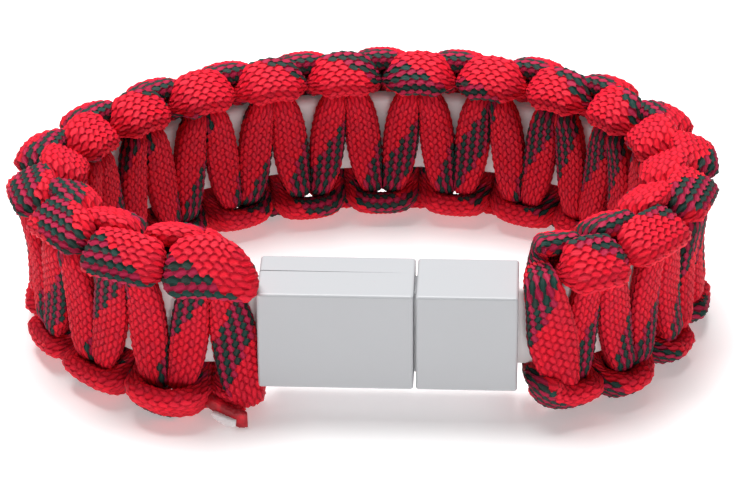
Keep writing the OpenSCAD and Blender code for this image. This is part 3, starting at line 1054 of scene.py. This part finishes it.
class BRACELET_OT_block(bpy.types.Operator):
    """White closure block: a socket side of two shells and a plug side"""
    bl_idname = "bracelet.block"
    bl_label = "Closure block"

    def execute(self, context):
        block, band, material = sizes("block"), Band(), housing_material()
        seam = float(FRONT_HIGH[1] + BACK_LOW[1]) / 2

        def on_seam(bm_edge):
            return all(abs(vert.co.y - seam) < 1e-6 for vert in bm_edge.verts)

        front = moulded_box("front_shell", FRONT_LOW, (FRONT_HIGH[0], seam, FRONT_HIGH[2]),
                            block.edge, on_seam, block.seam_edge)
        back = moulded_box("back_shell", (BACK_LOW[0], seam, BACK_LOW[2]), BACK_HIGH,
                           block.edge, on_seam, block.seam_edge)
        # The seam closes towards the plug side, and the shells' edges along it are flat from there on
        long = FRONT_HIGH[0] - FRONT_LOW[0]
        for vert in back.vertices:
            near = 1 - min(max((vert.co.y - seam) / MM, 0), 1)
            gone = (vert.co.x - FRONT_LOW[0]) / (SEAM_CLOSED * long)
            vert.co.y += near * block.seam_open * max(1 - gone, LEAST_SEAM)
        for vert in (*front.vertices, *back.vertices):
            if vert.co.x > FRONT_LOW[0] + SEAM_CLOSED * long and abs(vert.co.y - seam) < SEAM_FLAT:
                for level in (FRONT_LOW[2], FRONT_HIGH[2]):
                    if abs(vert.co.z - level) < SEAM_FLAT:
                        vert.co.z = level
                vert.co.y = seam
        plug = moulded_box("plug_shell", PLUG_LOW, PLUG_HIGH, block.edge)
        pieces = {}
        for name, mesh, node in (("front_shell", front, "housing_front_shell"),
                                 ("back_shell", back, "housing_back_shell"),
                                 ("plug_shell", plug, "plug_body")):
            pieces[name] = show(name, mesh, material)
            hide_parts(node)
        socket_slot = (band.long - MM, band.long + block.slot_depth)
        for name, ends in (("plug_shell", (-block.slot_depth, MM)),
                           ("front_shell", socket_slot), ("back_shell", socket_slot)):
            cut(pieces[name], loft("slot", strap_rings(band, ends, block.slot_clearance)))
        for piece in pieces.values():
            piece.data.shade_smooth()
            piece.data.materials.clear()
            piece.data.materials.append(material)
            modifier = piece.modifiers.new("flat_faces", "WEIGHTED_NORMAL")
            modifier.keep_sharp = True
            modifier.weight = 100
        metal = metal_material()
        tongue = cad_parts["plug_tongue"]
        for slot in tongue.material_slots:
            slot.material = metal
        if not tongue.material_slots:
            tongue.data.materials.append(metal)
        return {"FINISHED"}


# Lamps, each with its place and the side of its square, and the point that they light (metres)
LAMPS, LIT = (("key", (-0.08, 0.22, 0.77), 0.55), ("fill", (0.16, -0.85, 0.05), 0.09)), (0, 0, 0.01)


class BRACELET_OT_stage(bpy.types.Operator):
    """Pale table, soft light and the camera"""
    bl_idname = "bracelet.stage"
    bl_label = "Stage"

    def execute(self, context):
        stage = sizes("stage")
        mesh = bpy.data.meshes.new("table")
        far = 3.0
        mesh.from_pydata([(-far, -far, 0), (far, -far, 0), (far, far, 0), (-far, far, 0)], [], [(0, 1, 2, 3)])
        mesh.materials.append(floor_material())
        table = placed("table", mesh)

        world = bpy.data.worlds.new("white_room")
        world.use_nodes = True
        sky = world.node_tree.nodes["Background"]
        sky.inputs["Color"].default_value = (1.0, 0.99, 0.99, 1.0)
        sky.inputs["Strength"].default_value = stage.sky
        context.scene.world = world
        for name, place, size in LAMPS:
            light = bpy.data.lights.new(name, "AREA")
            light.shape, light.size, light.energy = "SQUARE", size, getattr(stage, name)
            lamp = placed(name, light)
            lamp.location = place
            lamp.rotation_mode = "QUATERNION"
            lamp.rotation_quaternion = (Vector(LIT) - Vector(place)).to_track_quat("-Z", "Y")
        context.scene.view_settings.view_transform = "Standard"

        middle = Vector(((FRONT_LOW[0] + PLUG_HIGH[0]) / 2, FRONT_LOW[1], (FRONT_LOW[2] + FRONT_HIGH[2]) / 2))
        target = middle + Vector((stage.look_x, 0, stage.look_z))
        az, el = stage.azimuth, stage.elevation
        back = Vector((math.sin(az) * math.cos(el), -math.cos(az) * math.cos(el), math.sin(el)))
        level = Vector((math.cos(az), math.sin(az), 0))
        above = back.cross(level)
        right = math.cos(stage.roll) * level + math.sin(stage.roll) * above
        camera = placed("camera", bpy.data.cameras.new("camera"))
        camera.data.sensor_width = 36.0
        camera.data.lens = stage.pixels / PICTURE_WIDTH * camera.data.sensor_width
        camera.data.clip_start, camera.data.clip_end = 0.01, 20.0
        turned = Matrix((right, back.cross(right), back)).transposed()
        camera.matrix_world = Matrix.Translation(target + back * stage.distance) @ turned.to_4x4()
        context.scene.camera = camera
        return {"FINISHED"}


OPERATORS = (BRACELET_OT_strap, BRACELET_OT_cords, BRACELET_OT_tail, BRACELET_OT_block, BRACELET_OT_stage)


class BRACELET_PT_panel(bpy.types.Panel):
    """The bracelet's pieces and sizes"""
    bl_idname = "BRACELET_PT_panel"
    bl_label = "Bracelet"
    bl_space_type = "VIEW_3D"
    bl_region_type = "UI"
    bl_category = "Bracelet"

    def draw(self, context):
        for operator in OPERATORS:
            self.layout.operator(operator.bl_idname)
        for name in GROUPS:
            box = self.layout.box()
            box.label(text=name.capitalize())
            group = sizes(name)
            for key in group.__annotations__:
                box.prop(group, key)


def register():
    for group in GROUPS.values():
        bpy.utils.register_class(group)
    for name, group in GROUPS.items():
        setattr(bpy.types.Scene, "bracelet_" + name, PointerProperty(type=group))
    for item in (*OPERATORS, BRACELET_PT_panel):
        bpy.utils.register_class(item)


def unregister():
    for item in (BRACELET_PT_panel, *reversed(OPERATORS)):
        bpy.utils.unregister_class(item)
    for name in GROUPS:
        delattr(bpy.types.Scene, "bracelet_" + name)
    for group in reversed(GROUPS.values()):
        bpy.utils.unregister_class(group)


def main():
    register()
    for operator in OPERATORS:
        family, name = operator.bl_idname.split(".")
        getattr(getattr(bpy.ops, family), name)()


if __name__ == "__main__":
    main()
